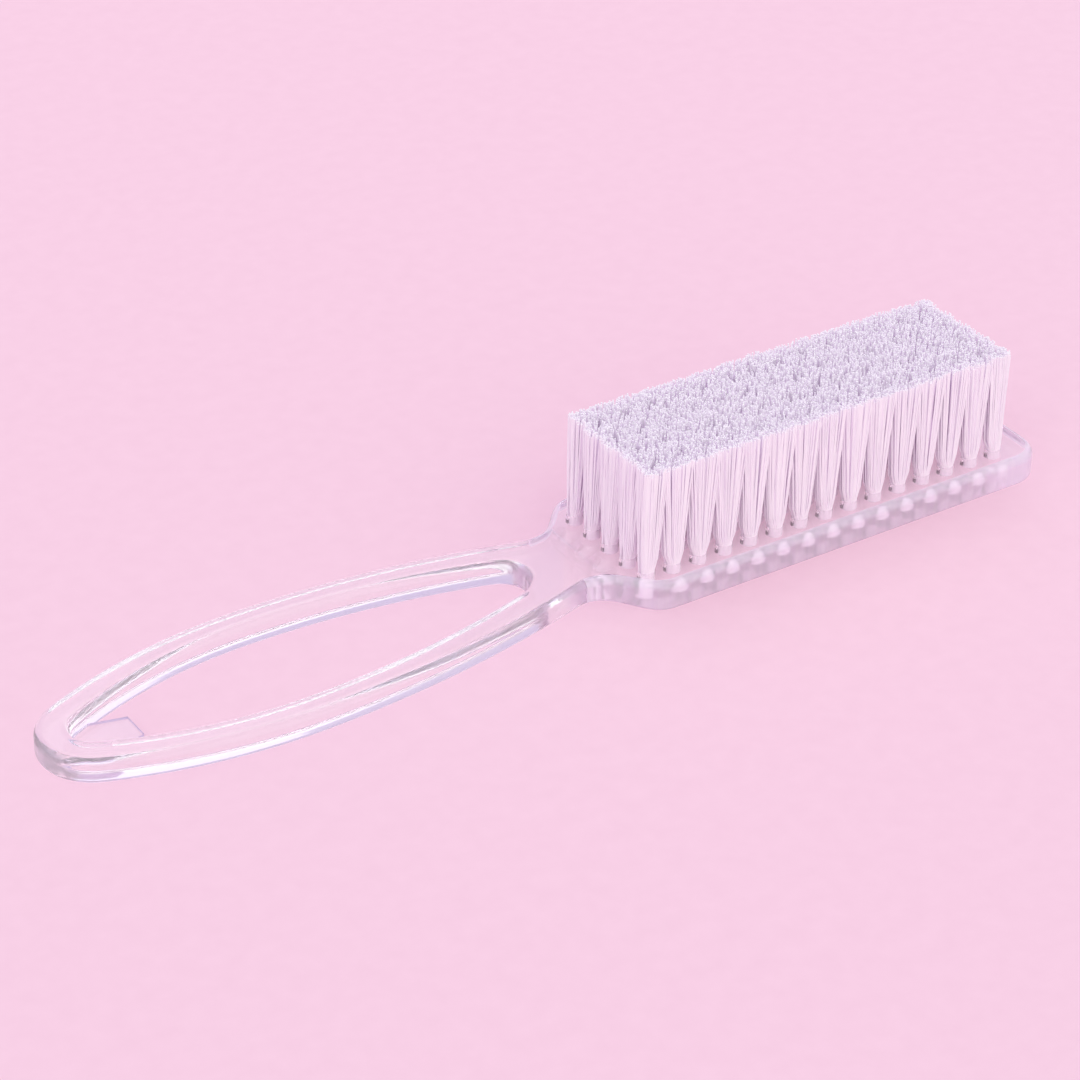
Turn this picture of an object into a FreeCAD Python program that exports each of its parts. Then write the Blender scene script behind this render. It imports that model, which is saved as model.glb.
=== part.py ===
"""Clear loop-handled nail brush: one moulded body, 75 bristle tufts and the 75 metal anchors that hold them.

X runs along the brush from the handle end to the tip of the head, Y across it and Z up, in millimetres.
The brush lies on its back, bristles up: the underside of its plate is on Z = 0, and X = 0 is halfway along.
"""
import FreeCAD, Part
import enum
import math
import os
import Sketcher
from FreeCAD import Vector

ROWS = 15
TUFTS_PER_ROW = 5

# Driving sizes in millimetres, with the shoulder's slope in degrees
SIZES = {
    # Head plate
    "overall_length": 145.0,
    "head_width": 25.0,
    "plate_thickness": 4.2,
    "tip_radius": 4.5,
    "shoulder_radius": 4.5,
    "shoulder_angle": 47.0,
    # Neck, with its reach measured from the handle end
    "neck_reach": 73.9,
    "neck_width": 13.2,
    "neck_radius": 5.4,
    "neck_lift": 0.8,
    "neck_step_run": 9.0,
    # Loop handle, with its widest place measured from the handle end
    "loop_width": 25.0,
    "loop_widest_reach": 32.0,
    "loop_end_radius": 7.6,
    "arm_width": 4.15,
    "end_wall": 4.3,
    "neck_bridge": 5.1,
    "opening_end_radius": 2.6,
    "opening_neck_radius": 3.5,
    # Rounded rims, each held to a share of the wall that it runs along
    "top_round": 1.2,
    "bottom_round": 0.6,
    "top_round_limit_share": 0.36,
    "bottom_round_limit_share": 0.5,
    "arm_round_limit_share": 0.42,
    # Gate tab left inside the loop
    "tab_thickness": 0.8,
    "tab_reach": 8.4,
    "tab_root": 1.0,
    "tab_root_width": 9.0,
    "tab_tip_width": 4.2,
    # Tuft holes
    "row_pitch": 4.08,
    "tuft_pitch": 4.05,
    "tip_margin": 5.9,
    "hole_diameter": 2.2,
    "hole_floor": 1.0,
    # Tufts
    "tuft_clearance": 0.05,
    "tuft_gap": 0.6,
    "tuft_flare_height": 7.5,
    "bristle_height": 15.0,
    # Anchors
    "anchor_bite": 0.2,
    "anchor_thickness": 0.4,
    "anchor_height": 1.3,
    "fold_thickness": 0.5,
    # How far cutting shapes run past what they cut
    "overrun": 2.0,
}

# Places and derived sizes, written once and shared by everything that meets there
END_X = "(-Sizes.overall_length / 2)"
TIP_X = "(Sizes.overall_length / 2)"
NECK_X = f"({END_X} + Sizes.neck_reach)"
WIDEST_X = f"({END_X} + Sizes.loop_widest_reach)"
OPENING_END_X = f"({END_X} + Sizes.end_wall)"
OPENING_NECK_X = f"({NECK_X} - Sizes.neck_bridge)"
OPENING_HALF_WIDTH = "(Sizes.loop_width / 2 - Sizes.arm_width)"
HALF_SLAB = "(max(Sizes.head_width, Sizes.loop_width) / 2 + Sizes.overrun)"
HANDLE_THICKNESS = "(Sizes.plate_thickness - Sizes.neck_lift)"
ARCH_RADIUS = "((Sizes.neck_reach ^ 2 + Sizes.neck_lift ^ 2) / (2 * Sizes.neck_lift))"
TOP_ROUND = f"min(Sizes.top_round, Sizes.top_round_limit_share * {HANDLE_THICKNESS})"
BOTTOM_ROUND = (f"min(Sizes.bottom_round, Sizes.bottom_round_limit_share * {HANDLE_THICKNESS}, "
                "Sizes.arm_round_limit_share * Sizes.arm_width)")
FIRST_ROW_X = f"({TIP_X} - Sizes.tip_margin - Sizes.row_pitch * {ROWS - 1})"
FIRST_TUFT_Y = f"(-Sizes.tuft_pitch * {TUFTS_PER_ROW - 1} / 2)"
ANCHOR_LENGTH = "(Sizes.hole_diameter + 2 * Sizes.anchor_bite)"
ANCHOR_FLOOR = "(Sizes.hole_floor + Sizes.fold_thickness)"

# A face that slants less than this from upright is a side wall
WALL_SLANT = 0.5


class Spot(enum.IntEnum):
    """Points on a sketch element that a constraint can take."""
    START = 1
    END = 2
    CENTRE = 3


class Axis(enum.IntEnum):
    """A sketch's own axes as elements."""
    X = -1
    Y = -2


ORIGIN = (Axis.X, Spot.START)

doc = FreeCAD.newDocument("NailBrush")
sheet = doc.addObject("Spreadsheet::Sheet", "Sizes")


def fill_sheet():
    """One row per driving size: its name, and its number under an alias of that name."""
    for row, (name, value) in enumerate(SIZES.items(), start=1):
        sheet.set(f"A{row}", name)
        sheet.set(f"B{row}", str(value))
        sheet.setAlias(f"B{row}", name)
    doc.recompute()


def number(expression):
    """The present value of an expression in the sheet's sizes, with an angle in radians."""
    value = sheet.evalExpression(expression)
    return float(value.getValueAs("rad")) if hasattr(value, "getValueAs") else float(value)


def origin_feature(body, role):
    """The origin plane or axis of a body that has this role."""
    return next(feature for feature in body.Origin.OriginFeatures if feature.Role == role)


def new_body(label):
    body = doc.addObject("PartDesign::Body", label)
    body.Label = label
    return body


def new_sketch(body, name, role, offset="0"):
    """A sketch on one of the body's origin planes, moved along the plane's normal by the offset expression."""
    sketch = body.newObject("Sketcher::SketchObject", name)
    sketch.AttachmentSupport = [(origin_feature(body, role), "")]
    sketch.MapMode = "FlatFace"
    sketch.setExpression("AttachmentOffset.Base.z", offset)
    return sketch


def dimension(sketch, name, expression, kind, *places):
    """A named dimension whose value follows an expression in the sheet's sizes."""
    index = sketch.addConstraint(Sketcher.Constraint(kind, *places, number(expression)))
    sketch.renameConstraint(index, name)
    sketch.setExpression(f"Constraints.{name}", expression)


def place_point(sketch, name, point, x=None, y=None):
    """Dimensions from the origin to a point, given as (element, position)."""
    if x is not None:
        dimension(sketch, f"{name}_x", x, "DistanceX", *ORIGIN, *point)
    if y is not None:
        dimension(sketch, f"{name}_y", y, "DistanceY", *ORIGIN, *point)


class Outline:
    """Lines and arcs drawn one after another in a sketch, each from where the last one ended."""

    def __init__(self, sketch, start):
        self.sketch = sketch
        self.here = start
        self.pieces = []

    def line(self, end):
        geometry = Part.LineSegment(Vector(*self.here, 0), Vector(*end, 0))
        return self.add(geometry, Spot.START, Spot.END, end)

    def arc(self, centre, end, clockwise):
        first, last = (end, self.here) if clockwise else (self.here, end)
        angles = [math.atan2(point[1] - centre[1], point[0] - centre[0]) for point in (first, last)]
        circle = Part.Circle(Vector(*centre, 0), Vector(0, 0, 1), math.dist(centre, end))
        positions = (Spot.END, Spot.START) if clockwise else (Spot.START, Spot.END)
        return self.add(Part.ArcOfCircle(circle, *angles), *positions, end)

    def add(self, geometry, start_position, end_position, end):
        index = self.sketch.addGeometry(geometry)
        self.pieces.append((index, start_position, end_position))
        self.here = end
        return index

    def start_of(self, piece):
        return self.pieces[piece][0], self.pieces[piece][1]

    def end_of(self, piece):
        return self.pieces[piece][0], self.pieces[piece][2]

    def centre_of(self, piece):
        return self.pieces[piece][0], Spot.CENTRE

    def radius(self, piece, name, expression):
        dimension(self.sketch, name, expression, "Radius", self.pieces[piece][0])

    def join(self, smooth):
        """Joins each piece to the next and the last to the first, as tangents after the pieces listed."""
        for piece in range(len(self.pieces)):
            kind = "Tangent" if piece in smooth else "Coincident"
            following = (piece + 1) % len(self.pieces)
            self.sketch.addConstraint(Sketcher.Constraint(kind, *self.end_of(piece), *self.start_of(following)))

    def hold(self, kind, *pieces):
        """Makes the pieces horizontal or vertical, or equal to each other."""
        indices = [self.pieces[piece][0] for piece in pieces]
        if kind == "Equal":
            self.sketch.addConstraint(Sketcher.Constraint(kind, *indices))
            return
        for index in indices:
            self.sketch.addConstraint(Sketcher.Constraint(kind, index))


def on_axis(sketch, axis, *points):
    """Keeps points, given as (element, position), on one of the sketch's axes."""
    for point in points:
        sketch.addConstraint(Sketcher.Constraint("PointOnObject", *point, axis))


def toward(centre, other, distance):
    """The point at a distance from centre on the line to the other centre."""
    share = distance / math.dist(centre, other)
    return tuple(c + (o - c) * share for c, o in zip(centre, other))


def flank_radius(run, drop, radius):
    """Radius of an arc that is level at the loop's widest place and runs smoothly into another arc.

    The other arc's centre lies run along and drop below that place, and its radius is negative if it bends outwards.
    """
    return (run ** 2 + drop ** 2 - radius ** 2) / (2 * (drop - radius))


def rectangle(sketch, left, bottom, width, height):
    """A rectangle given by expressions for its lower left corner and its size."""
    x, y, w, h = (number(expression) for expression in (left, bottom, width, height))
    outline = Outline(sketch, (x, y))
    for corner in ((x + w, y), (x + w, y + h), (x, y + h), (x, y)):
        outline.line(corner)
    outline.join(smooth=())
    outline.hold("Horizontal", 0, 2)
    outline.hold("Vertical", 1, 3)
    place_point(sketch, "corner", outline.start_of(0), left, bottom)
    dimension(sketch, "width", width, "DistanceX", *outline.start_of(0), *outline.end_of(0))
    dimension(sketch, "height", height, "DistanceY", *outline.start_of(1), *outline.end_of(1))


def pad(body, name, sketch, length, symmetric=False):
    feature = body.newObject("PartDesign::Pad", name)
    feature.Profile = sketch
    feature.SideType = "Symmetric" if symmetric else "One side"
    feature.setExpression("Length", length)
    return feature


def pocket(body, name, sketch, depth=None):
    """A cut to a depth below the sketch or, with no depth, through everything on both sides of it."""
    feature = body.newObject("PartDesign::Pocket", name)
    feature.Profile = sketch
    if depth is None:
        feature.SideType = "Symmetric"
        feature.Type = "ThroughAll"
    else:
        feature.setExpression("Length", depth)
    return feature


def side_profile(body):
    """The body seen from the side: a level plate, and a handle that arches off the table at the neck."""
    sketch = new_sketch(body, "side_profile", "XZ_Plane")
    far_x, tip_x = f"({END_X} - Sizes.overrun)", f"({TIP_X} + Sizes.overrun)"
    neck, lift, top = number(NECK_X), number("Sizes.neck_lift"), number("Sizes.plate_thickness")
    step = number("Sizes.neck_step_run")
    step_radius = (step ** 2 + lift ** 2) / (4 * lift)
    arch, under = number(ARCH_RADIUS), number(f"{ARCH_RADIUS} - {HANDLE_THICKNESS}")
    centre = (neck, top - arch)
    run = neck - number(far_x)
    outline = Outline(sketch, (number(tip_x), 0))
    outline.line((neck + step, 0))
    outline.arc((neck + step, step_radius), (neck + step / 2, lift / 2), clockwise=True)
    outline.arc((neck, lift - step_radius), (neck, lift), clockwise=False)
    outline.arc(centre, (number(far_x), centre[1] + math.sqrt(under ** 2 - run ** 2)), clockwise=False)
    outline.line((number(far_x), centre[1] + math.sqrt(arch ** 2 - run ** 2)))
    outline.arc(centre, (neck, top), clockwise=True)
    outline.line((number(tip_x), top))
    outline.line((number(tip_x), 0))
    outline.join(smooth=(0, 1, 2, 5))
    on_axis(sketch, Axis.X, outline.start_of(0), outline.end_of(0))
    outline.hold("Vertical", 4, 7)
    outline.hold("Horizontal", 6)
    outline.hold("Equal", 1, 2)
    place_point(sketch, "tip", outline.start_of(0), tip_x)
    place_point(sketch, "step_start", outline.end_of(0), f"{NECK_X} + Sizes.neck_step_run")
    place_point(sketch, "step_end", outline.end_of(2), NECK_X, "Sizes.neck_lift")
    place_point(sketch, "under_centre", outline.centre_of(3), NECK_X)
    place_point(sketch, "far_end", outline.start_of(4), far_x)
    place_point(sketch, "arch_start", outline.end_of(5), NECK_X, "Sizes.plate_thickness")
    outline.radius(3, "under_radius", f"{ARCH_RADIUS} - {HANDLE_THICKNESS}")
    outline.radius(5, "arch_radius", ARCH_RADIUS)
    return sketch


def outside_of_plan(body):
    """What lies outside one half of the plan: end arc, two flanks, neck, shoulder, straight side and tip corner."""
    sketch = new_sketch(body, "outside_of_plan", "XY_Plane")
    end, tip, neck, widest = (number(place) for place in (END_X, TIP_X, NECK_X, WIDEST_X))
    frame_end, frame_tip, frame_side = f"{END_X} - Sizes.overrun", f"{TIP_X} + Sizes.overrun", HALF_SLAB
    half_loop, half_neck, half_head = (number(f"Sizes.{name}_width / 2") for name in ("loop", "neck", "head"))
    end_radius, neck_radius = number("Sizes.loop_end_radius"), number("Sizes.neck_radius")
    shoulder_radius, tip_radius = number("Sizes.shoulder_radius"), number("Sizes.tip_radius")
    slope = math.radians(number("Sizes.shoulder_angle"))
    end_centre = (end + end_radius, 0)
    neck_centre = (neck, half_neck + neck_radius)
    far_radius = flank_radius(widest - end_centre[0], half_loop, end_radius)
    near_radius = flank_radius(neck - widest, half_loop - neck_centre[1], -neck_radius)
    far_centre = (widest, half_loop - far_radius)
    near_centre = (widest, half_loop - near_radius)
    slope_start = (neck + neck_radius * math.sin(slope), neck_centre[1] - neck_radius * math.cos(slope))
    slope_top = half_head - shoulder_radius * (1 - math.cos(slope))
    slope_end = (slope_start[0] + (slope_top - slope_start[1]) / math.tan(slope), slope_top)
    shoulder_x = slope_end[0] + shoulder_radius * math.sin(slope)
    outline = Outline(sketch, (end, 0))
    outline.arc(end_centre, toward(end_centre, far_centre, -end_radius), clockwise=True)
    outline.arc(far_centre, (widest, half_loop), clockwise=True)
    outline.arc(near_centre, toward(neck_centre, near_centre, neck_radius), clockwise=True)
    outline.arc(neck_centre, slope_start, clockwise=False)
    outline.line(slope_end)
    outline.arc((shoulder_x, half_head - shoulder_radius), (shoulder_x, half_head), clockwise=True)
    outline.line((tip - tip_radius, half_head))
    outline.arc((tip - tip_radius, half_head - tip_radius), (tip, half_head - tip_radius), clockwise=True)
    outline.line((tip, 0))
    outline.line((number(frame_tip), 0))
    outline.line((number(frame_tip), number(frame_side)))
    outline.line((number(frame_end), number(frame_side)))
    outline.line((number(frame_end), 0))
    outline.line((end, 0))
    outline.join(smooth=range(8))
    outline.hold("Horizontal", 6, 11)
    outline.hold("Vertical", 8, 10, 12)
    on_axis(sketch, Axis.X, outline.start_of(0), outline.centre_of(0))
    on_axis(sketch, Axis.X, outline.end_of(8), outline.end_of(9), outline.end_of(12))
    place_point(sketch, "end", outline.start_of(0), END_X)
    place_point(sketch, "widest", outline.end_of(1), WIDEST_X, "Sizes.loop_width / 2")
    place_point(sketch, "far_centre", outline.centre_of(1), WIDEST_X)
    place_point(sketch, "neck_centre", outline.centre_of(3), NECK_X, "Sizes.neck_width / 2 + Sizes.neck_radius")
    place_point(sketch, "side", outline.end_of(6), y="Sizes.head_width / 2")
    place_point(sketch, "tip", outline.end_of(8), TIP_X)
    place_point(sketch, "frame_tip", outline.end_of(10), frame_tip, frame_side)
    place_point(sketch, "frame_end", outline.end_of(12), frame_end)
    for name, piece in (("loop_end", 0), ("neck", 3), ("shoulder", 5), ("tip", 7)):
        outline.radius(piece, f"{name}_radius", f"Sizes.{name}_radius")
    dimension(sketch, "slope", "Sizes.shoulder_angle * 1 deg", "Angle", outline.pieces[4][0])
    return sketch


def half_opening(body):
    """One half of the opening in the loop: a round end at the neck, two flanks and a tighter round far end."""
    sketch = new_sketch(body, "half_opening", "XY_Plane")
    far, near, widest = (number(place) for place in (OPENING_END_X, OPENING_NECK_X, WIDEST_X))
    half_width = number(OPENING_HALF_WIDTH)
    far_end, near_end = number("Sizes.opening_end_radius"), number("Sizes.opening_neck_radius")
    far_end_centre, near_end_centre = (far + far_end, 0), (near - near_end, 0)
    far_centre = (widest, half_width - flank_radius(widest - far_end_centre[0], half_width, far_end))
    near_centre = (widest, half_width - flank_radius(near_end_centre[0] - widest, half_width, near_end))
    outline = Outline(sketch, (near, 0))
    outline.arc(near_end_centre, toward(near_end_centre, near_centre, -near_end), clockwise=False)
    outline.arc(near_centre, (widest, half_width), clockwise=False)
    outline.arc(far_centre, toward(far_end_centre, far_centre, -far_end), clockwise=False)
    outline.arc(far_end_centre, (far, 0), clockwise=False)
    outline.line((near, 0))
    outline.join(smooth=range(3))
    on_axis(sketch, Axis.X, outline.start_of(0), outline.centre_of(0), outline.centre_of(3), outline.end_of(3))
    place_point(sketch, "near", outline.start_of(0), OPENING_NECK_X)
    place_point(sketch, "widest", outline.end_of(1), WIDEST_X, OPENING_HALF_WIDTH)
    place_point(sketch, "near_centre", outline.centre_of(1), WIDEST_X)
    place_point(sketch, "far", outline.end_of(3), OPENING_END_X)
    outline.radius(0, "near_radius", "Sizes.opening_neck_radius")
    outline.radius(3, "far_radius", "Sizes.opening_end_radius")
    return sketch


def rim_edges(shape, up):
    """Names of the edges where the side walls meet the upper or the lower faces."""
    names = []
    for index, edge in enumerate(shape.Edges, start=1):
        middle = edge.valueAt((edge.FirstParameter + edge.LastParameter) / 2)
        slants = [face.normalAt(*face.Surface.parameter(middle)).z for face in shape.ancestorsOfType(edge, Part.Face)]
        caps = [slant for slant in slants if abs(slant) > WALL_SLANT]
        if len(caps) == 1 and len(slants) == 2 and (caps[0] > 0) == up:
            names.append(f"Edge{index}")
    return names


def round_rim(body, name, radius, up):
    """Rounds all upper or all lower rims of the body as it stands."""
    doc.recompute()
    base = body.Tip
    feature = body.newObject("PartDesign::Fillet", name)
    feature.Base = (base, rim_edges(base.Shape, up))
    feature.setExpression("Radius", radius)
    return feature


def gate_tab(body):
    """A thin tapered tab inside the far end of the loop, rooted in the end wall."""
    sketch = new_sketch(body, "tab_outline", "XY_Plane", BOTTOM_ROUND)
    root_x, tip_x = f"{OPENING_END_X} - Sizes.tab_root", f"{OPENING_END_X} + Sizes.tab_reach"
    root, tip = number("Sizes.tab_root_width / 2"), number("Sizes.tab_tip_width / 2")
    outline = Outline(sketch, (number(root_x), -root))
    outline.line((number(tip_x), -tip))
    outline.line((number(tip_x), tip))
    outline.line((number(root_x), root))
    outline.line((number(root_x), -root))
    outline.join(smooth=())
    outline.hold("Vertical", 1, 3)
    place_point(sketch, "root", outline.start_of(0), root_x, "-Sizes.tab_root_width / 2")
    place_point(sketch, "tip", outline.end_of(0), tip_x, "-Sizes.tab_tip_width / 2")
    dimension(sketch, "tip_width", "Sizes.tab_tip_width", "DistanceY", *outline.start_of(1), *outline.end_of(1))
    dimension(sketch, "root_width", "Sizes.tab_root_width", "DistanceY", *outline.end_of(3), *outline.start_of(3))
    return pad(body, "gate_tab", sketch, "Sizes.tab_thickness")


def tuft_holes(body):
    """Blind holes for the tufts, each with a slit on both sides that its anchor's ends bite into."""
    circle_sketch = new_sketch(body, "first_hole", "XY_Plane", "Sizes.plate_thickness")
    place = Vector(number(FIRST_ROW_X), number(FIRST_TUFT_Y), 0)
    circle = circle_sketch.addGeometry(Part.Circle(place, Vector(0, 0, 1), number("Sizes.hole_diameter / 2")))
    place_point(circle_sketch, "centre", (circle, Spot.CENTRE), FIRST_ROW_X, FIRST_TUFT_Y)
    dimension(circle_sketch, "diameter", "Sizes.hole_diameter", "Diameter", circle)
    hole = pocket(body, "hole", circle_sketch, "Sizes.plate_thickness - Sizes.hole_floor")
    slit_sketch = new_sketch(body, "first_slit", "XY_Plane", "Sizes.plate_thickness")
    rectangle(slit_sketch, f"{FIRST_ROW_X} - {ANCHOR_LENGTH} / 2", f"{FIRST_TUFT_Y} - Sizes.anchor_thickness / 2",
              ANCHOR_LENGTH, "Sizes.anchor_thickness")
    slit = pocket(body, "slit", slit_sketch, f"Sizes.plate_thickness - {ANCHOR_FLOOR}")
    grid = body.newObject("PartDesign::LinearPattern", "hole_grid")
    grid.Originals = [hole, slit]
    grid.Direction = (origin_feature(body, "X_Axis"), [""])
    grid.setExpression("Length", f"Sizes.row_pitch * {ROWS - 1}")
    grid.Occurrences = ROWS
    grid.Direction2 = (origin_feature(body, "Y_Axis"), [""])
    grid.setExpression("Length2", f"Sizes.tuft_pitch * {TUFTS_PER_ROW - 1}")
    grid.Occurrences2 = TUFTS_PER_ROW
    return grid


def handle_body():
    """The clear moulding: plate, neck and loop handle in one piece, with rounded rims, gate tab and tuft holes."""
    body = new_body("handle_body")
    pad(body, "slab", side_profile(body), f"2 * {HALF_SLAB}", symmetric=True)
    outside = pocket(body, "outside", outside_of_plan(body))
    opening = pocket(body, "opening", half_opening(body))
    mirrored = body.newObject("PartDesign::Mirrored", "other_half")
    mirrored.Originals = [outside, opening]
    mirrored.MirrorPlane = (origin_feature(body, "XZ_Plane"), [""])
    body.Tip = mirrored
    body.Tip = round_rim(body, "lower_rims", BOTTOM_ROUND, up=False)
    body.Tip = round_rim(body, "upper_rims", TOP_ROUND, up=True)
    body.Tip = gate_tab(body)
    body.Tip = tuft_holes(body)
    return body


def row_x(row):
    """Expression for the place along the brush of a cross row, counted from zero at the neck."""
    return f"{FIRST_ROW_X} + Sizes.row_pitch * {row}"


def spread_across(body, *features):
    """Repeats features across the brush, once per tuft of the row."""
    pattern = body.newObject("PartDesign::LinearPattern", "across")
    pattern.Originals = features
    pattern.Direction = (origin_feature(body, "Y_Axis"), [""])
    pattern.setExpression("Length", f"Sizes.tuft_pitch * {TUFTS_PER_ROW - 1}")
    pattern.Occurrences = TUFTS_PER_ROW
    body.Tip = pattern


def tuft_half_section(body):
    """Half of a tuft's section: a straight root in its hole, a flare above the plate and a straight full width."""
    sketch = new_sketch(body, "half_section", "XZ_Plane", f"-{FIRST_TUFT_Y}")
    root_radius = "(Sizes.hole_diameter / 2 - Sizes.tuft_clearance)"
    full_radius = "((min(Sizes.row_pitch, Sizes.tuft_pitch) - Sizes.tuft_gap) / 2)"
    flare_top = "(Sizes.plate_thickness + Sizes.tuft_flare_height)"
    top = "(Sizes.plate_thickness + Sizes.bristle_height)"
    root, full = number(root_radius), number(full_radius)
    floor, plate, flare = number("Sizes.hole_floor"), number("Sizes.plate_thickness"), number(flare_top)
    flare_radius = ((full - root) ** 2 + (flare - plate) ** 2) / (2 * (full - root))
    outline = Outline(sketch, (0, floor))
    outline.line((root, floor))
    outline.line((root, plate))
    outline.arc((full - flare_radius, flare), (full, flare), clockwise=False)
    outline.line((full, number(top)))
    outline.line((0, number(top)))
    outline.line((0, floor))
    outline.join(smooth=(2,))
    outline.hold("Horizontal", 0, 4)
    outline.hold("Vertical", 1, 3)
    on_axis(sketch, Axis.Y, outline.start_of(0), outline.end_of(4))
    place_point(sketch, "root", outline.end_of(0), root_radius, "Sizes.hole_floor")
    place_point(sketch, "plate", outline.end_of(1), y="Sizes.plate_thickness")
    place_point(sketch, "flare", outline.end_of(2), full_radius, flare_top)
    place_point(sketch, "top", outline.end_of(3), y=top)
    return sketch


def tuft_row(row):
    """One cross row of tufts, each folded under its anchor and parted round it."""
    body = new_body(f"tuft_row_{row + 1:02d}")
    section = tuft_half_section(body)
    bundle = body.newObject("PartDesign::Revolution", "bundle")
    bundle.Profile = section
    bundle.ReferenceAxis = (section, ["V_Axis"])
    gap_sketch = new_sketch(body, "anchor_gap_section", "YZ_Plane")
    rectangle(gap_sketch, f"{FIRST_TUFT_Y} - Sizes.anchor_thickness / 2", ANCHOR_FLOOR,
              "Sizes.anchor_thickness", "Sizes.anchor_height")
    gap = pocket(body, "anchor_gap", gap_sketch)
    spread_across(body, bundle, gap)
    body.setExpression("Placement.Base.x", row_x(row))
    return body


def anchor_row(row):
    """One cross row of anchors: flat strips on edge along the brush, longer than their holes are wide."""
    body = new_body(f"anchor_row_{row + 1:02d}")
    sketch = new_sketch(body, "strip_section", "XY_Plane", ANCHOR_FLOOR)
    rectangle(sketch, f"-{ANCHOR_LENGTH} / 2", f"{FIRST_TUFT_Y} - Sizes.anchor_thickness / 2",
              ANCHOR_LENGTH, "Sizes.anchor_thickness")
    strip = pad(body, "strip", sketch, "Sizes.anchor_height")
    spread_across(body, strip)
    body.setExpression("Placement.Base.x", row_x(row))
    return body


def check(bodies):
    """Stops before anything is written if a feature failed or a body isn't the solids that it should be."""
    failed = [item.Label for item in doc.Objects if {"Invalid", "Error"} & set(item.State)]
    if failed:
        raise RuntimeError(f"failed features: {failed}")
    loose = [item.Label for item in doc.findObjects("Sketcher::SketchObject") if not item.FullyConstrained]
    if loose:
        raise RuntimeError(f"sketches with free sizes: {loose}")
    for body in bodies:
        solids = 1 if body.Label == "handle_body" else TUFTS_PER_ROW
        if body.Shape.isNull() or not body.Shape.isValid() or len(body.Shape.Solids) != solids:
            raise RuntimeError(f"bad shape: {body.Label}")


def main():
    fill_sheet()
    bodies = [handle_body()]
    bodies += [tuft_row(row) for row in range(ROWS)]
    bodies += [anchor_row(row) for row in range(ROWS)]
    doc.recompute()
    check(bodies)
    os.makedirs("parts", exist_ok=True)
    for body in bodies:
        body.Shape.exportStep(f"parts/{body.Label}.step")
        print(f"{body.Label}: {len(body.Shape.Solids)} solids, {body.Shape.Volume:.2f} cubic millimetres")


main()
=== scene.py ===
"""Looks of the clear loop-handled nail brush: moulded body, nylon filaments and metal anchors."""
import math
import random

import bmesh
import bpy
from mathutils import Euler, Matrix, Vector
from mathutils.geometry import delaunay_2d_cdt
from mathutils.kdtree import KDTree


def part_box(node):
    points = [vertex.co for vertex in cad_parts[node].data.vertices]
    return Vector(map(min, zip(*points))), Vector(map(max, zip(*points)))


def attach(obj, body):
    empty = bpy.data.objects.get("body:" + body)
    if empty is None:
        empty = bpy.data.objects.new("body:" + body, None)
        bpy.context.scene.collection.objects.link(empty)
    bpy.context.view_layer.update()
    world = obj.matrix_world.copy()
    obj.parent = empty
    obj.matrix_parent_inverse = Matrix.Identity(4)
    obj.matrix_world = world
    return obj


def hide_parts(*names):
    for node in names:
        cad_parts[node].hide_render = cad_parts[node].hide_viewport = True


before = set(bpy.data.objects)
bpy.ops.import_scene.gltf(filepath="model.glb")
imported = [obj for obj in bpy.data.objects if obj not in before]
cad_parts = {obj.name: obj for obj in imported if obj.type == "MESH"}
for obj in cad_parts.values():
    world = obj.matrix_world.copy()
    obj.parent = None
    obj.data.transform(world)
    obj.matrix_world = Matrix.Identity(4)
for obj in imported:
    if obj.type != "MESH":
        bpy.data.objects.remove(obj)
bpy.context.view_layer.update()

ROWS = [f"{row:02d}" for row in range(1, 16)]
TUFTS_PER_ROW = 5

# Sizes of the moulding in metres
PLATE_TOP = 0.0042
NECK_X = 0.0014
NECK_LIFT = 0.0008
NECK_STEP_RUN = 0.009
ARCH_RADIUS = 3.4137
TOP_ROUND = 0.0012
BOTTOM_ROUND = 0.0006
HOLE_RADIUS = 0.0011
TAB_THICKNESS = 0.0008
TAB_REACH = 0.0084
TAB_ROOT = 0.001
TAB_ROOT_HALF = 0.0045
TAB_TIP_HALF = 0.0021
WIRE_BITE = 0.00001

# How finely the moulding is drawn again, with lengths in metres and the angle in degrees
OUTLINE_HEIGHT = 0.0018
OUTLINE_STEP = 0.0004
GUIDE_STEP = 0.0001
WALL_ROOM = 0.000005
STRAIGHT_SIDE = 0.005
RIM_MARGIN = 0.0001
MERGE_DISTANCE = 0.000002
SMOOTHING_PASSES = 4
LOWER_RIM_PARTS = 6
UPPER_RIM_PARTS = 12
HOLE_SIDES = 24
NECK_CUTS = 12
CUT_MATCH = 0.000001
POINT_MATCH = 1e-9
INSIDE_OUTLINE = 1
SHARP_ANGLE = 50

# Which faces of the moulding have which plastic, with lengths in metres
# The third plastic carries painted light in the plate's walls, and the fourth a painted reflection on
# the gate tab's edges
CLEAR, DRILLED, PAINTED_WALL_LIGHT, PAINTED_TAB_EDGE = range(4)
HOLE_REACH = 0.00112
HOLE_LOW = 0.0005
MOUTH_ROOM = 0.00001
SLOT_REACH = 0.0015
TAB_ROOM = 0.0001
NEARLY_LEVEL = 0.985
STEEP = 0.5

# Sizes of the filaments in metres, with the fold's room in filament radii
ROOT_RADIUS = 0.00098
FILAMENT_RADIUS = 0.00009
FILAMENT_SPACING = 0.00013
TIP_SWELL = 1.35
FOLD_GAP = 0.00031
FOLD_START = 0.0003
FOLD_WIDTH = 0.55
FOLD_ROOM = 2.5
TOP_REACH = 0.0027
OUTER_REACH = 0.0012
RAGGED_TUFT = 0.0003
RAGGED_TOP = 0.0007
TIP_SCATTER = 0.00025
MIDDLE_SCATTER = 0.00006

# Places up a filament leg, as (share of its height, share of its lean)
LEG_PLACES = ((0, 0), (0.1, 0.3), (0.5, 0.6), (1, 1))
LEG_MIDDLE = 2

# How the plastics and the nylon bend and tint light
PLASTIC_IOR = 1.5
NYLON_IOR = 1.53
PLASTIC_TINT = (0.997, 0.99, 0.998, 1)

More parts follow.
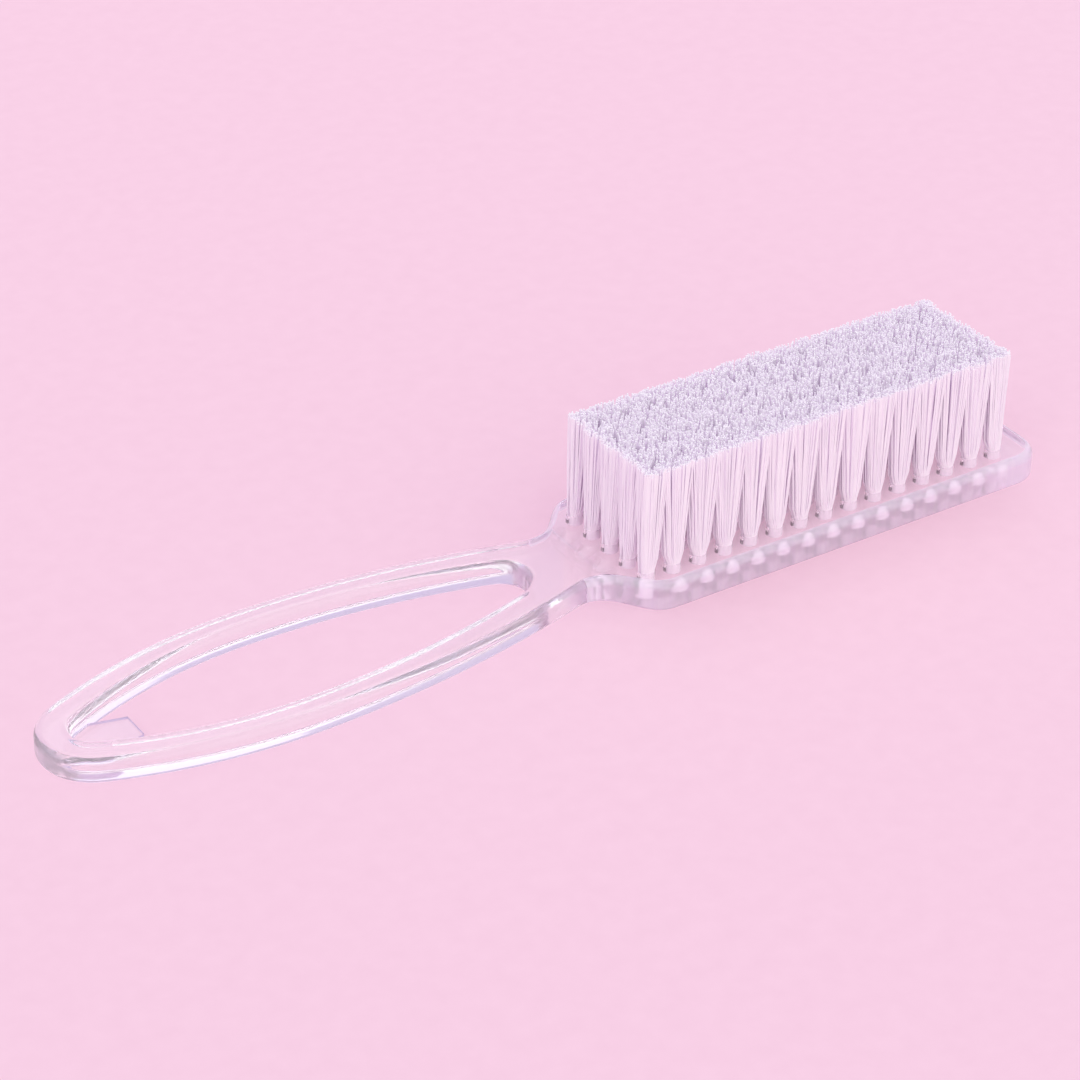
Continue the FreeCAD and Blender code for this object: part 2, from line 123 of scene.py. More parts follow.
# The table, with lengths in metres
TABLE_HALF = 3.0
TABLE_PARTS = 8
AIR_GAP = 0.0001
SHARE_THROUGH_PLASTIC = 0.6

# The sky's light, as (height of the direction, colour) stops, and the lamp
FRONT_SKY = ((0.0, (1.05, 1.0, 1.06)), (0.6, (1.15, 1.15, 1.15)))
BACK_SKY = (
    (0.0, (0.82, 0.55, 0.70)),
    (0.18, (0.62, 0.50, 0.72)),
    (0.55, (0.64, 0.56, 0.80)),
    (0.85, (1.15, 1.15, 1.15)),
)
SKY_STRENGTH = 0.97
SKY_BLEND = 0.35
LAMP_PLACE = (0.15, 0.55, 0.75)
LAMP_TARGET = (0.0, 0.0, 0.0)
LAMP_SIZE = 0.6
LAMP_POWER = 0.4
LAMP_COLOUR = (1.0, 1.0, 1.0)

# A mix node's colour sockets by number, since their names are shared with its other sockets
MIX_FIRST, MIX_SECOND, MIX_RESULT = 6, 7, 2

# The photograph's viewpoint, with angles in degrees
CAMERA_PLACE = (-0.21889, -0.31884, 0.25273)
CAMERA_ANGLES = (57.616, -0.942, -33.693)
CAMERA_LENS = 120.0
SENSOR_WIDTH = 36.0

random.seed(7)


def new_material(name):
    """A material with one main shader, and that material's node tree."""
    material = bpy.data.materials.new(name)
    material.use_nodes = True
    return material, material.node_tree, material.node_tree.nodes["Principled BSDF"]


def add(tree, kind, **inputs):
    """A node of this kind with its input sockets set; underscores stand for spaces in their names."""
    node = tree.nodes.new(kind)
    for name, value in inputs.items():
        node.inputs[name.replace("_", " ")].default_value = value
    return node


def stretched_noise(tree, stretch, scale, detail=2.0):
    """Noise in the part's own frame, drawn out along the axes that have a small stretch."""
    place = tree.nodes.new("ShaderNodeTexCoord")
    mapping = add(tree, "ShaderNodeMapping", Scale=stretch)
    noise = add(tree, "ShaderNodeTexNoise", Scale=scale, Detail=detail)
    tree.links.new(place.outputs["Object"], mapping.inputs["Vector"])
    tree.links.new(mapping.outputs["Vector"], noise.inputs["Vector"])
    return noise.outputs["Fac"]


def spread(tree, value, low, high):
    """Maps a noise value to the range from low to high."""
    node = add(tree, "ShaderNodeMapRange", From_Min=0.25, From_Max=0.75, To_Min=low, To_Max=high)
    tree.links.new(value, node.inputs["Value"])
    return node.outputs["Result"]


def ramp(tree, value, stops):
    """Colour along a value, given as (value, colour) stops."""
    tone = tree.nodes.new("ShaderNodeValToRGB")
    while len(tone.color_ramp.elements) < len(stops):
        tone.color_ramp.elements.new(0.5)
    for element, (place, colour) in zip(tone.color_ramp.elements, stops):
        element.position = place
        element.color = (*colour, 1)
    tree.links.new(value, tone.inputs["Fac"])
    return tone.outputs["Color"]


def shade(tree, skin, pattern, stops):
    """Colours a shader by a pattern, along (value, colour) stops."""
    colour = ramp(tree, pattern, stops)
    tree.links.new(colour, skin.inputs["Base Color"])
    return colour


def roughen(tree, shader, height, distance):
    """Lifts the surface by a height pattern, over a distance in metres."""
    bump = add(tree, "ShaderNodeBump", Strength=1.0, Distance=distance)
    tree.links.new(height, bump.inputs["Height"])
    tree.links.new(bump.outputs["Normal"], shader.inputs["Normal"])


def either_ray(tree, first, second):
    """One for light rays of either kind, and nought for the others."""
    path = tree.nodes.new("ShaderNodeLightPath")
    either = tree.nodes.new("ShaderNodeMath")
    either.operation = "MAXIMUM"
    tree.links.new(path.outputs[first], either.inputs[0])
    tree.links.new(path.outputs[second], either.inputs[1])
    return either.outputs["Value"]


def blend_surface(tree, share, skin, other):
    """Gives the surface the main shader with this share of another one."""
    mix = tree.nodes.new("ShaderNodeMixShader")
    tree.links.new(share, mix.inputs["Fac"])
    tree.links.new(skin.outputs["BSDF"], mix.inputs[1])
    tree.links.new(other, mix.inputs[2])
    tree.links.new(mix.outputs["Shader"], tree.nodes["Material Output"].inputs["Surface"])


def let_lamps_through(tree, skin):
    """Lets lamp light and scattered light straight through a clear wall to what lies behind it."""
    passing = either_ray(tree, "Is Shadow Ray", "Is Diffuse Ray")
    through = add(tree, "ShaderNodeBsdfTransparent", Color=PLASTIC_TINT)
    blend_surface(tree, passing, skin, through.outputs["BSDF"])


def show_through_plastic(tree, skin, colour, share):
    """Shows this share of a colour, free of shadow, to rays that come through or off the plastic."""
    part = tree.nodes.new("ShaderNodeMath")
    part.operation = "MULTIPLY"
    part.inputs[1].default_value = share
    tree.links.new(either_ray(tree, "Is Transmission Ray", "Is Glossy Ray"), part.inputs[0])
    plain = add(tree, "ShaderNodeEmission", Strength=1.0)
    tree.links.new(colour, plain.inputs["Color"])
    blend_surface(tree, part.outputs["Value"], skin, plain.outputs["Emission"])


def clear_plastic():
    """Clear polished plastic with a breath of haze and faint moulding ripples."""
    material, tree, skin = new_material("clear_plastic")
    skin.inputs["Base Color"].default_value = (0.97, 0.94, 0.985, 1)
    skin.inputs["IOR"].default_value = PLASTIC_IOR
    skin.inputs["Transmission Weight"].default_value = 0.93
    haze = stretched_noise(tree, (1, 1, 1), 900)
    tree.links.new(spread(tree, haze, 0.01, 0.04), skin.inputs["Roughness"])
    roughen(tree, skin, stretched_noise(tree, (0.4, 1, 1), 260), 0.000004)
    let_lamps_through(tree, skin)
    return material


def plate_wall_painted_light():
    """The same plastic in the walls of the brush plate, clouded in fine upright streaks; its light
    lilac colour and its streaks are painted light, standing in for light carried through the plate
    and for the lit tufts seen through its wall.
    """
    material, tree, skin = new_material("plate_wall_painted_light")
    streaks = stretched_noise(tree, (1, 1, 0.05), 1600, 4.0)
    shade(tree, skin, streaks, ((0.3, (0.93, 0.84, 0.98)), (0.7, (0.98, 0.91, 1.0))))
    skin.inputs["IOR"].default_value = PLASTIC_IOR
    skin.inputs["Transmission Weight"].default_value = 0.5
    tree.links.new(spread(tree, streaks, 0.05, 0.15), skin.inputs["Roughness"])
    let_lamps_through(tree, skin)
    return material


def tab_edge_painted_reflection():
    """The same plastic on the gate tab's edges: matt, and darker than the clear faces beside it, with
    the lilac reflection of the surroundings painted into its colour.
    """
    material, tree, skin = new_material("tab_edge_painted_reflection")
    scratches = stretched_noise(tree, (0.3, 0.3, 1), 5000)
    shade(tree, skin, scratches, ((0.0, (0.58, 0.50, 0.70)), (1.0, (0.70, 0.62, 0.82))))
    tree.links.new(spread(tree, scratches, 0.2, 0.4), skin.inputs["Roughness"])
    return material


def drilled_wall():
    """The same plastic in a tuft hole, left white and matt by the drill with rings down its depth."""
    material, tree, skin = new_material("drilled_wall")
    rings = stretched_noise(tree, (0.2, 0.2, 1), 9000)
    shade(tree, skin, rings, ((0.0, (0.94, 0.88, 0.98)), (1.0, (0.98, 0.94, 1.0))))
    skin.inputs["IOR"].default_value = PLASTIC_IOR
    skin.inputs["Transmission Weight"].default_value = 0.35
    tree.links.new(spread(tree, rings, 0.15, 0.3), skin.inputs["Roughness"])
    roughen(tree, skin, rings, 0.000005)
    let_lamps_through(tree, skin)
    return material


def nylon():
    """Pale lilac nylon filaments, each a little lighter or darker than the next."""
    material, tree, skin = new_material("pale_nylon")
    strand = stretched_noise(tree, (1, 1, 0.02), 4000)
    shade(tree, skin, strand, ((0.3, (0.986, 0.948, 1.0)), (0.7, (0.993, 0.960, 1.0))))
    skin.inputs["IOR"].default_value = NYLON_IOR
    tree.links.new(spread(tree, strand, 0.3, 0.5), skin.inputs["Roughness"])
    return material


def cut_wire():
    """Flat steel wire, drawn along its length and cut."""
    material, tree, skin = new_material("cut_flat_wire")
    drawn = stretched_noise(tree, (0.1, 1, 1), 9000)
    shade(tree, skin, drawn, ((0.0, (0.26, 0.24, 0.25)), (1.0, (0.46, 0.44, 0.45))))
    skin.inputs["Metallic"].default_value = 1.0
    tree.links.new(spread(tree, drawn, 0.25, 0.45), skin.inputs["Roughness"])
    roughen(tree, skin, drawn, 0.00001)
    return material


def table_top():
    """Pale pink paper under the brush."""
    material, tree, skin = new_material("pale_pink_paper")
    grain = stretched_noise(tree, (1, 1, 1), 350, 6.0)
    stops = ((0.3, (0.92, 0.628, 0.748)), (0.7, (0.94, 0.648, 0.768)))
    colour = shade(tree, skin, grain, stops)
    skin.inputs["Roughness"].default_value = 0.9
    skin.inputs["Specular IOR Level"].default_value = 0.1
    show_through_plastic(tree, skin, colour, SHARE_THROUGH_PLASTIC)
    return material


def new_piece(name, mesh, material):
    """A piece of the brush at the origin, with its place in its mesh."""
    piece = bpy.data.objects.new(name, mesh)
    bpy.context.scene.collection.objects.link(piece)
    mesh.materials.clear()
    mesh.materials.append(material)
    return piece


def hole_places():
    """Where the middles of the tuft holes are, row by row."""
    places = []
    for row in ROWS:
        low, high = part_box(f"tuft_row_{row}")
        pitch = (high[1] - (high[0] - low[0]) / 2) / (TUFTS_PER_ROW // 2)
        for tuft in range(-(TUFTS_PER_ROW // 2), TUFTS_PER_ROW // 2 + 1):
            places.append(Vector(((low[0] + high[0]) / 2, tuft * pitch)))
    return places


def level_heights(x):
    """Heights of the moulding's underside, which steps up at the neck, and of its top.

    Both arch down along the handle.
    """
    drop = ARCH_RADIUS - math.sqrt(ARCH_RADIUS ** 2 - min(x - NECK_X, 0) ** 2)
    step = min(max((NECK_X + NECK_STEP_RUN - x) / NECK_STEP_RUN, 0), 1)
    rise = 2 * step ** 2 if step < 0.5 else 1 - 2 * (1 - step) ** 2
    return NECK_LIFT * rise - drop, PLATE_TOP - drop


def cut_loops(height):
    """Closed loops of points where a level plane at this height cuts the moulding's walls."""
    shape = bmesh.new()
    shape.from_mesh(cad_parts["handle_body"].data)
    bmesh.ops.remove_doubles(shape, verts=shape.verts, dist=MERGE_DISTANCE)
    everything = shape.verts[:] + shape.edges[:] + shape.faces[:]
    bmesh.ops.bisect_plane(
        shape, geom=everything, plane_co=(0, 0, height), plane_no=(0, 0, 1),
        clear_inner=True, clear_outer=True,
    )
    shape.verts.index_update()
    loops, used = [], set()
    for first in shape.verts:
        loop, ahead = [], [first]
        while ahead := [vertex for vertex in ahead if vertex.index not in used]:
            used.add(ahead[0].index)
            loop.append(ahead[0].co.xy)
            ahead = [edge.other_vert(ahead[0]) for edge in ahead[0].link_edges]
        if len(loop) > 2:
            loops.append(loop)
    shape.free()
    return loops


def around(loop):
    """Length once around a closed loop."""
    return sum((loop[place] - loop[place - 1]).length for place in range(len(loop)))


def turned(loop, counter_clockwise):
    """A closed loop in this direction."""
    area = sum(loop[place - 1].cross(loop[place]) for place in range(len(loop)))
    return loop if (area > 0) == counter_clockwise else loop[::-1]


def evenly_spaced(loop, wanted):
    """A closed loop drawn again with even steps of about the wanted length."""
    count = round(around(loop) / wanted)
    step = around(loop) / count
    points, gone = [], 0.0
    for place in range(len(loop)):
        start, end = loop[place - 1], loop[place]
        length = (end - start).length
        while len(points) < count and len(points) * step <= gone + length:
            points.append(start.lerp(end, (len(points) * step - gone) / length))
        gone += length
    return points


def wall_points(loop):
    """The CAD's own points on the wall that this loop follows, in order; they lie on its outline."""
    guide = evenly_spaced(loop, GUIDE_STEP)
    finder = KDTree(len(guide))
    for place, point in enumerate(guide):
        finder.insert((*point, 0), place)
    finder.balance()
    found = {}
    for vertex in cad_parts["handle_body"].data.vertices:
        under, top = level_heights(vertex.co.x)
        if under + BOTTOM_ROUND - WALL_ROOM < vertex.co.z < top - TOP_ROUND + WALL_ROOM:
            place, gap = finder.find((*vertex.co.xy, 0))[1:]
            if gap < GUIDE_STEP:
                found.setdefault(place, vertex.co.xy)
    points = []
    for place in sorted(found):
        if not points or (found[place] - points[-1]).length > 2 * GUIDE_STEP:
            points.append(found[place])
    return points


def run_through(back, here, ahead):
    """Direction of a smooth outline at a point, from the points before and after it.

    A long straight side keeps its own.
    """
    before, after = here - back, ahead - here
    for side in (before, after):
        if side.length > STRAIGHT_SIDE:
            return side.normalized()
    return (before.normalized() * after.length + after.normalized() * before.length).normalized()


def curved(loop):
    """A closed loop drawn as a smooth curve through its points."""
    count = len(loop)
    runs = [
        run_through(loop[place - 1], loop[place], loop[(place + 1) % count])
        for place in range(count)
    ]
    points = []
    for place in range(count):
        start, end = loop[place - 1], loop[place]
        length = (end - start).length
        pieces = max(math.ceil(length / GUIDE_STEP), 1)
        for piece in range(pieces):
            t = piece / pieces
            bend = (t * (1 - t) ** 2 * runs[place - 1] - t ** 2 * (1 - t) * runs[place]) * length
            points.append(start + (end - start) * t ** 2 * (3 - 2 * t) + bend)
    return points


def wall_outline(loop, counter_clockwise):
    """The outline of a wall in even steps, in this direction, with small unevenness smoothed."""
    points = evenly_spaced(curved(wall_points(turned(loop, counter_clockwise))), OUTLINE_STEP)
    count = len(points)
    for smoothing in range(SMOOTHING_PASSES):
        points = [
            (points[place - 1] + 2 * points[place] + points[(place + 1) % count]) / 4
            for place in range(count)
        ]
    return points


def quarter_turn(parts):
    """Angles over a quarter of a circle, in even parts."""
    return [math.radians(90) * part / parts for part in range(parts + 1)]


def wall_profile():
    """Places up a wall, as (distance in from it, height above the underside, depth below the top).

    One of the height and the depth is None.
    """
    places = [(BOTTOM_ROUND + RIM_MARGIN, 0, None)]
    for turn in quarter_turn(LOWER_RIM_PARTS):
        inset, height = 1 - math.sin(turn), 1 - math.cos(turn)
        places.append((BOTTOM_ROUND * inset, BOTTOM_ROUND * height, None))
    places += [(0, BOTTOM_ROUND + RIM_MARGIN, None), (0, None, TOP_ROUND + RIM_MARGIN)]
    for turn in quarter_turn(UPPER_RIM_PARTS):
        inset, depth = 1 - math.cos(turn), 1 - math.sin(turn)
        places.append((TOP_ROUND * inset, None, TOP_ROUND * depth))
    places.append((TOP_ROUND + RIM_MARGIN, None, 0))
    return places


def join_rings(shape, lower, upper):
    """Faces between two closed rings with the same number of points."""
    for place in range(len(lower)):
        shape.faces.new((lower[place - 1], lower[place], upper[place], upper[place - 1]))


def rounded_wall(shape, outline):
    """A wall with rounded rims along a closed outline, as its lowest and highest ring of points."""
    count = len(outline)
    rings = []
    for inset, height, depth in wall_profile():
        ring = []
        for place, point in enumerate(outline):
            along = (outline[(place + 1) % count] - outline[place - 1]).normalized()
            spot = point - inset * Vector((along.y, -along.x))
            under, top = level_heights(spot.x)
            ring.append(shape.verts.new((*spot, top - depth if height is None else under + height)))
        rings.append(ring)
    for lower, upper in zip(rings, rings[1:]):
        join_rings(shape, lower, upper)
    return rings[0], rings[-1]


def tuft_hole(shape, place, floor):
    """A blind hole for a tuft, as the ring of points around its mouth."""
    rings = []
    for height in (floor, PLATE_TOP):
        ring = []
        for part in range(HOLE_SIDES):
            turn = 2 * math.pi * part / HOLE_SIDES
            x = place.x + HOLE_RADIUS * math.cos(turn)
            y = place.y + HOLE_RADIUS * math.sin(turn)
            ring.append(shape.verts.new((x, y, height)))
        rings.append(ring)
    join_rings(shape, *rings)
    shape.faces.new(rings[0])
    return rings[1]


def inside(point, ring):
    """Whether a point lies inside a closed ring, seen from above."""
    crossings = 0
    for start, end in zip(ring, ring[1:] + ring[:1]):
        if (start.y > point.y) != (end.y > point.y):
            rise = point.y - start.y
            crossings += point.x < start.x + rise * (end.x - start.x) / (end.y - start.y)
    return crossings % 2 == 1


def filled(shape, rings):
    """Faces that fill the first ring, except inside the others."""
    corners, edges = [vertex for ring in rings for vertex in ring], []
    for ring in rings:
        places = [corners.index(ring[0]) + place for place in range(len(ring))]
        edges += zip(places, places[1:] + places[:1])
    flat = [vertex.co.xy for vertex in corners]
    triangles, sources = delaunay_2d_cdt(flat, edges, [], INSIDE_OUTLINE, POINT_MATCH)[2:4]
    gaps = []
    for ring in rings[1:]:
        gap = [vertex.co.xy for vertex in ring]
        middle = sum(gap, Vector((0, 0))) / len(gap)
        gaps.append((gap, middle, max((point - middle).length for point in gap)))
    faces = []
    for triangle in triangles:
        spots = [corners[sources[place][0]] for place in triangle]
        centre = sum((spot.co.xy for spot in spots), Vector((0, 0))) / 3
        near = [gap for gap, middle, reach in gaps if (centre - middle).length < reach]
        if not any(inside(centre, gap) for gap in near):
            faces.append(shape.faces.new(spots))
    return faces


def level_face(shape, rings, top):
    """Fills the underside or the top between these rings, at the moulding's height all along."""
    faces = filled(shape, rings)
    for part in range(NECK_CUTS + 1):
        cut = (NECK_X + NECK_STEP_RUN * part / NECK_CUTS, 0, 0)
        near = dict.fromkeys(item for face in faces for item in (face, *face.edges, *face.verts))
        split = bmesh.ops.bisect_plane(
            shape, geom=list(near), plane_co=cut, plane_no=(1, 0, 0), dist=CUT_MATCH,
        )["geom"]
        faces = [item for item in split if isinstance(item, bmesh.types.BMFace)]
    for vertex in dict.fromkeys(vertex for face in faces for vertex in face.verts):
        vertex.co.z = level_heights(vertex.co.x)[1 if top else 0]


def boxes(name, plans):
    """A mesh of upright blocks, each given as its plan's corners, its lower and its upper height."""
    shape = bmesh.new()
    for plan, low, high in plans:
        rings = [[shape.verts.new((x, y, height)) for x, y in plan] for height in (low, high)]
        join_rings(shape, *rings)
        for ring in rings:
            shape.faces.new(ring)
    bmesh.ops.recalc_face_normals(shape, faces=shape.faces)
    mesh = bpy.data.meshes.new(name)
    shape.to_mesh(mesh)
    shape.free()
    return mesh


def gate_tab(opening_end):
    """The thin tapered tab left inside the loop, rooted in its end wall."""
    near, far = opening_end - TAB_ROOT, opening_end + TAB_REACH
    plan = (
        (near, -TAB_ROOT_HALF), (far, -TAB_TIP_HALF),
        (far, TAB_TIP_HALF), (near, TAB_ROOT_HALF),
    )
    return boxes("gate_tab", [(plan, BOTTOM_ROUND, BOTTOM_ROUND + TAB_THICKNESS)])


def anchor_slots(holes):
    """The slots of the anchors beside their holes, a hair tighter than the wire pressed into them."""
    plans = []
    for place, hole in enumerate(holes):
        low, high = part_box(f"anchor_row_{ROWS[place // TUFTS_PER_ROW]}")
        half = high[1] - holes[TUFTS_PER_ROW - 1].y - WIRE_BITE
        left, right = low[0] + WIRE_BITE, high[0] - WIRE_BITE
        plan = (
            (left, hole.y - half), (right, hole.y - half),
            (right, hole.y + half), (left, hole.y + half),
        )
        plans.append((plan, low[2] + WIRE_BITE, PLATE_TOP + WIRE_BITE))
    return boxes("anchor_slots", plans)


def combined(mesh, other, operation):
    """A mesh with another one joined to it or cut out of it."""
    whole = [bpy.data.objects.new(part.name, part) for part in (mesh, other)]
    for item in whole:
        bpy.context.scene.collection.objects.link(item)
    step = whole[0].modifiers.new("step", "BOOLEAN")
    step.operation, step.solver, step.object = operation, "EXACT", whole[1]
    made = whole[0].evaluated_get(bpy.context.evaluated_depsgraph_get())
    result = bpy.data.meshes.new_from_object(made)
    for item in whole:
        bpy.data.objects.remove(item)
    return result


def is_tab_edge(face, tab_end):
    """Whether a face is a trimmed edge of the gate tab: its tip, or a side that faces outward."""
    x, y = face.center.xy
    if abs(face.normal.z) > STEEP or x > tab_end + TAB_ROOM or abs(y) > TAB_ROOT_HALF:
        return False
    is_side = face.normal.y * y > 0 and x > tab_end - TAB_REACH
    return x > tab_end - TAB_ROOM or is_side


def plastic_of(face, holes, tab_end):
    """Which plastic a face of the moulding has."""
    off_hole = min((face.center.xy - hole).length for hole in holes)
    if off_hole < HOLE_REACH and HOLE_LOW < face.center.z < PLATE_TOP - MOUTH_ROOM:
        return DRILLED
    # The tab's trimmed edges take the plastic with a painted reflection in its colour
    if is_tab_edge(face, tab_end):
        return PAINTED_TAB_EDGE
    is_wall = abs(face.normal.z) < NEARLY_LEVEL
    # The plate's walls take the plastic with painted light in its colour
    if is_wall and face.center.x > NECK_X and off_hole > SLOT_REACH:
        return PAINTED_WALL_LIGHT
    return CLEAR


def moulded_body(holes):
    """The moulding drawn again with even rims along the CAD's own outline."""
    loops = sorted(cut_loops(OUTLINE_HEIGHT), key=around)
    outline, opening = wall_outline(loops[-1], True), wall_outline(loops[-2], False)
    shape = bmesh.new()
    undersides, tops = zip(rounded_wall(shape, outline), rounded_wall(shape, opening))
    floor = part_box("tuft_row_01")[0][2]
    mouths = [tuft_hole(shape, hole, floor) for hole in holes]
    level_face(shape, undersides, False)
    level_face(shape, [*tops, *mouths], True)
    bmesh.ops.recalc_face_normals(shape, faces=shape.faces)
    mesh = bpy.data.meshes.new("moulding")
    shape.to_mesh(mesh)
    shape.free()
    opening_end = min(point.x for point in opening)
    mesh = combined(mesh, gate_tab(opening_end), "UNION")
    mesh = combined(mesh, anchor_slots(holes), "DIFFERENCE")
    mesh.name = "clear_body"
    mesh.shade_smooth()
    mesh.set_sharp_from_angle(angle=math.radians(SHARP_ANGLE))
    piece = new_piece("clear_body", mesh, clear_plastic())
    for plastic in (drilled_wall(), plate_wall_painted_light(), tab_edge_painted_reflection()):
        mesh.materials.append(plastic)
    for face in mesh.polygons:
        face.material_index = plastic_of(face, holes, opening_end + TAB_REACH)
    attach(piece, "root")
    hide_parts("handle_body")


def root_places():
    """Places of the filaments on one side of the anchor, packed in the hole's half circle."""
    places = []
    step = FILAMENT_SPACING * math.sqrt(3) / 2
    for line in range(int(ROOT_RADIUS / step) + 1):
        across = FOLD_GAP + line * step
        shift = FILAMENT_SPACING / 2 * (line % 2)
        count = int(ROOT_RADIUS / FILAMENT_SPACING) + 1
        for place in range(-count, count + 1):
            along = place * FILAMENT_SPACING + shift
            if math.hypot(along, across) < ROOT_RADIUS:
                places.append(Vector((along, across, 0)))
    return places


def scatter(reach):
    """A random shift sideways."""
    return Vector((random.gauss(0, reach), random.gauss(0, reach), 0))


def leg(centre, root, top, outward):
    """Points of one filament leg from the plate up to its cut end.

    It leans out, though less on the block's trimmed sides.
    """
    opened = (abs(root.y) - FOLD_GAP) / (ROOT_RADIUS - FOLD_GAP)
    across = opened * math.copysign(TOP_REACH, root.y)
    lean = Vector((root.x * (TOP_REACH / ROOT_RADIUS - 1), across - root.y, 0))
    lean += scatter(TIP_SCATTER)
    for axis in (0, 1):
        if outward[axis] * lean[axis] > 0:
            lean[axis] *= (OUTER_REACH - ROOT_RADIUS) / (TOP_REACH - ROOT_RADIUS)
    height = top - PLATE_TOP - random.random() ** 2 * RAGGED_TOP
    points = []
    for share, opening in LEG_PLACES:
        point = centre + root + lean * opening
        point.z = PLATE_TOP + height * share
        points.append(point)
    points[LEG_MIDDLE] += scatter(MIDDLE_SCATTER)
    return points


def filament(centre, root, floor, wire_low, top, outward):
    """One filament: up one side of the anchor's fold, under the anchor and up the other side."""
    other = Vector((root.x, -root.y, 0))
    first = leg(centre, root, top, outward)
    second = leg(centre, other, top, outward)
    depth = min((abs(root.y) - FOLD_START) / ROOT_RADIUS, 1)
    low = wire_low - FILAMENT_RADIUS - depth * (wire_low - floor - FOLD_ROOM * FILAMENT_RADIUS)
    fold = []
    under = ((root, wire_low), (root * FOLD_WIDTH, low), (other * FOLD_WIDTH, low), (other, wire_low))
    for side, height in under:
        point = centre + Vector((root.x, side.y, 0))
        point.z = height
        fold.append(point)
    return first[::-1] + fold + second


def thread(curve, points, top):
    """Draws one filament into a curve, swelling from the plate up to its tips."""
    spline = curve.splines.new("POLY")
    spline.points.add(len(points) - 1)
    for spot, point in zip(spline.points, points):
        spot.co = (*point, 1)
        spot.radius = 1 + (TIP_SWELL - 1) * max(point.z - PLATE_TOP, 0) / (top - PLATE_TOP)


def tubes(curve):
    """The mesh of a curve's round threads; the curve itself is removed."""
    bundle = bpy.data.objects.new("filaments", curve)
    bpy.context.scene.collection.objects.link(bundle)
    drawn = bundle.evaluated_get(bpy.context.evaluated_depsgraph_get())
    mesh = bpy.data.meshes.new_from_object(drawn)
    bpy.data.objects.remove(bundle)
    bpy.data.curves.remove(curve)
    return mesh


def tuft_row(row, holes, material):
    """The filaments of one cross row of tufts, in these holes."""
    node, anchor = f"tuft_row_{ROWS[row]}", f"anchor_row_{ROWS[row]}"
    low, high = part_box(node)
    wire_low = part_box(anchor)[0]
    curve = bpy.data.curves.new("filaments", "CURVE")
    curve.dimensions = "3D"
    curve.bevel_depth = FILAMENT_RADIUS
    curve.bevel_resolution = 0
    curve.use_fill_caps = True
    end = (row == len(ROWS) - 1) - (row == 0)
    for tuft, hole in enumerate(holes):
        outward = (end, (tuft == TUFTS_PER_ROW - 1) - (tuft == 0))
        top = high[2] - FILAMENT_RADIUS - random.random() * RAGGED_TUFT
        for place in root_places():
            points = filament(hole.to_3d(), place, low[2], wire_low[2], top, outward)
            thread(curve, points, top)
    mesh = tubes(curve)
    mesh.name = f"bristles_{ROWS[row]}"
    mesh.shade_flat()
    piece = new_piece(mesh.name, mesh, material)
    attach(piece, "root")
    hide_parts(node)


def finish_anchors(material):
    """Gives the CAD's own anchors this material."""
    for row in ROWS:
        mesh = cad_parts[f"anchor_row_{row}"].data
        mesh.materials.clear()
        mesh.materials.append(material)


def table():
    """A plain table just under the brush, far larger than the view."""
    shape = bmesh.new()
    bmesh.ops.create_grid(shape, x_segments=TABLE_PARTS, y_segments=TABLE_PARTS, size=TABLE_HALF)
    mesh = bpy.data.meshes.new("table")
    shape.to_mesh(mesh)
    shape.free()
    mesh.transform(Matrix.Translation((0, 0, -AIR_GAP)))
    new_piece("table", mesh, table_top())


def lamp(name, place, target, size, power, colour):
    """A round soft lamp at a place, aimed at a target."""
    light = bpy.data.lights.new(name, "AREA")
    light.shape = "DISK"
    light.size = size
    light.energy = power
    light.color = colour
    item = bpy.data.objects.new(name, light)
    item.location = place
    item.rotation_euler = (Vector(target) - Vector(place)).to_track_quat("-Z", "Y").to_euler()
    bpy.context.scene.collection.objects.link(item)


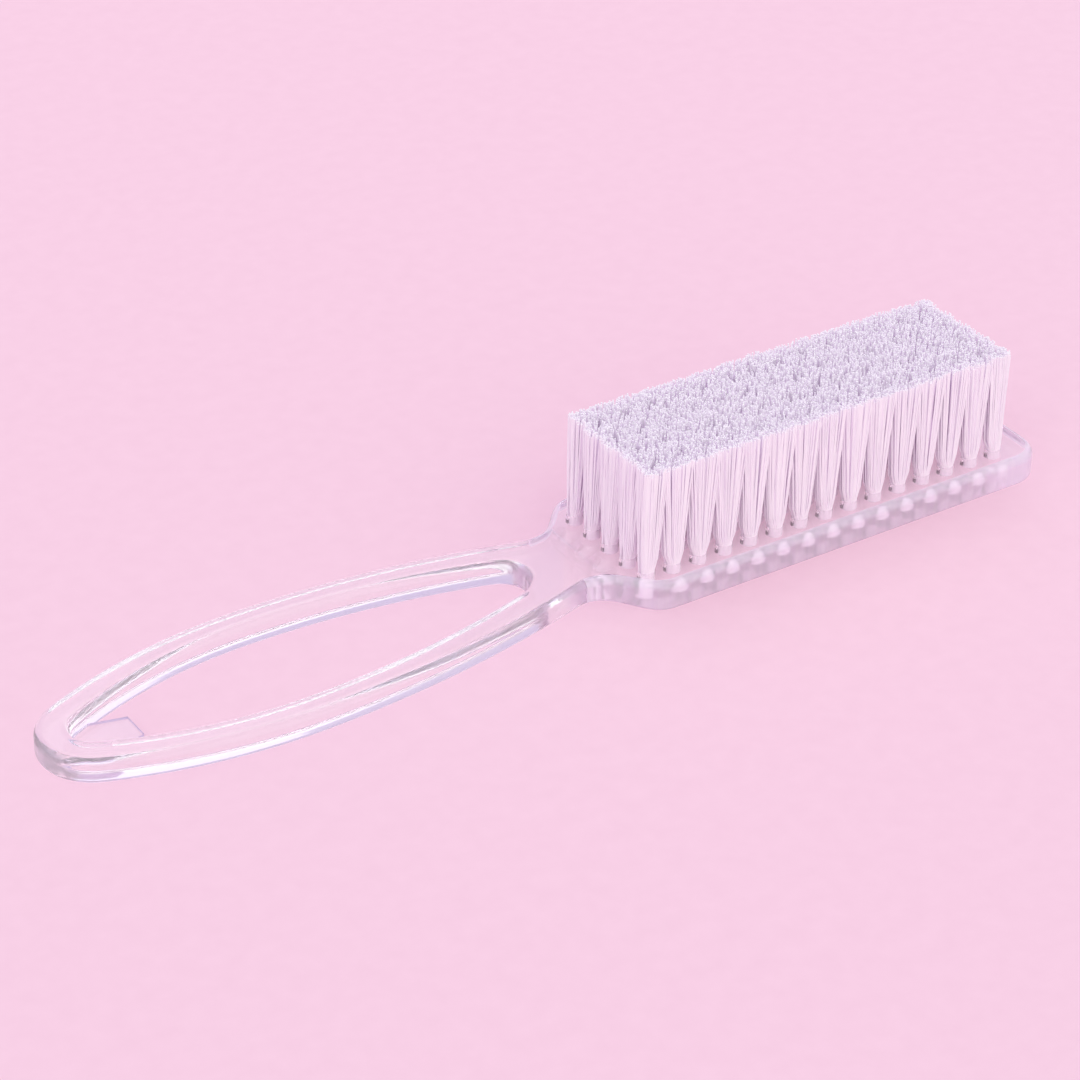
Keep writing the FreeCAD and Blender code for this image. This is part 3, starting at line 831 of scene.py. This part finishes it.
def studio():
    """Soft white light from the front and above, and one soft lamp high at the back.

    Behind the brush are a pink sweep and a lilac wall.
    """
    world = bpy.data.worlds.new("studio")
    bpy.context.scene.world = world
    world.use_nodes = True
    tree = world.node_tree
    place = tree.nodes.new("ShaderNodeTexCoord")
    parts = tree.nodes.new("ShaderNodeSeparateXYZ")
    tree.links.new(place.outputs["Generated"], parts.inputs["Vector"])
    front = ramp(tree, parts.outputs["Z"], FRONT_SKY)
    back = ramp(tree, parts.outputs["Z"], BACK_SKY)
    side = add(tree, "ShaderNodeMapRange", From_Min=-SKY_BLEND, From_Max=SKY_BLEND)
    side.interpolation_type = "SMOOTHSTEP"
    tree.links.new(parts.outputs["Y"], side.inputs["Value"])
    blend = tree.nodes.new("ShaderNodeMix")
    blend.data_type = "RGBA"
    tree.links.new(side.outputs["Result"], blend.inputs["Factor"])
    tree.links.new(front, blend.inputs[MIX_FIRST])
    tree.links.new(back, blend.inputs[MIX_SECOND])
    tree.links.new(blend.outputs[MIX_RESULT], tree.nodes["Background"].inputs["Color"])
    tree.nodes["Background"].inputs["Strength"].default_value = SKY_STRENGTH
    lamp("back_softbox", LAMP_PLACE, LAMP_TARGET, LAMP_SIZE, LAMP_POWER, LAMP_COLOUR)


def let_light_travel():
    """Enough bounces for light to leave the clear plastic and the dense filaments again."""
    paths = bpy.context.scene.cycles
    paths.diffuse_bounces = 32
    paths.glossy_bounces = 64
    paths.transmission_bounces = 64
    paths.transparent_max_bounces = 128
    paths.max_bounces = 128


def camera():
    """The camera at the photograph's viewpoint."""
    view = bpy.data.cameras.new("camera")
    view.lens = CAMERA_LENS
    view.sensor_width = SENSOR_WIDTH
    item = bpy.data.objects.new("camera", view)
    item.location = CAMERA_PLACE
    item.rotation_euler = Euler([math.radians(angle) for angle in CAMERA_ANGLES])
    bpy.context.scene.collection.objects.link(item)
    bpy.context.scene.camera = item


def main():
    """Sets up the studio and draws the pieces of the brush."""
    bpy.context.scene.view_settings.view_transform = "Standard"
    let_light_travel()
    camera()
    studio()
    table()
    holes = hole_places()
    moulded_body(holes)
    filaments = nylon()
    for row in range(len(ROWS)):
        tuft_row(row, holes[row * TUFTS_PER_ROW:(row + 1) * TUFTS_PER_ROW], filaments)
    finish_anchors(cut_wire())


main()
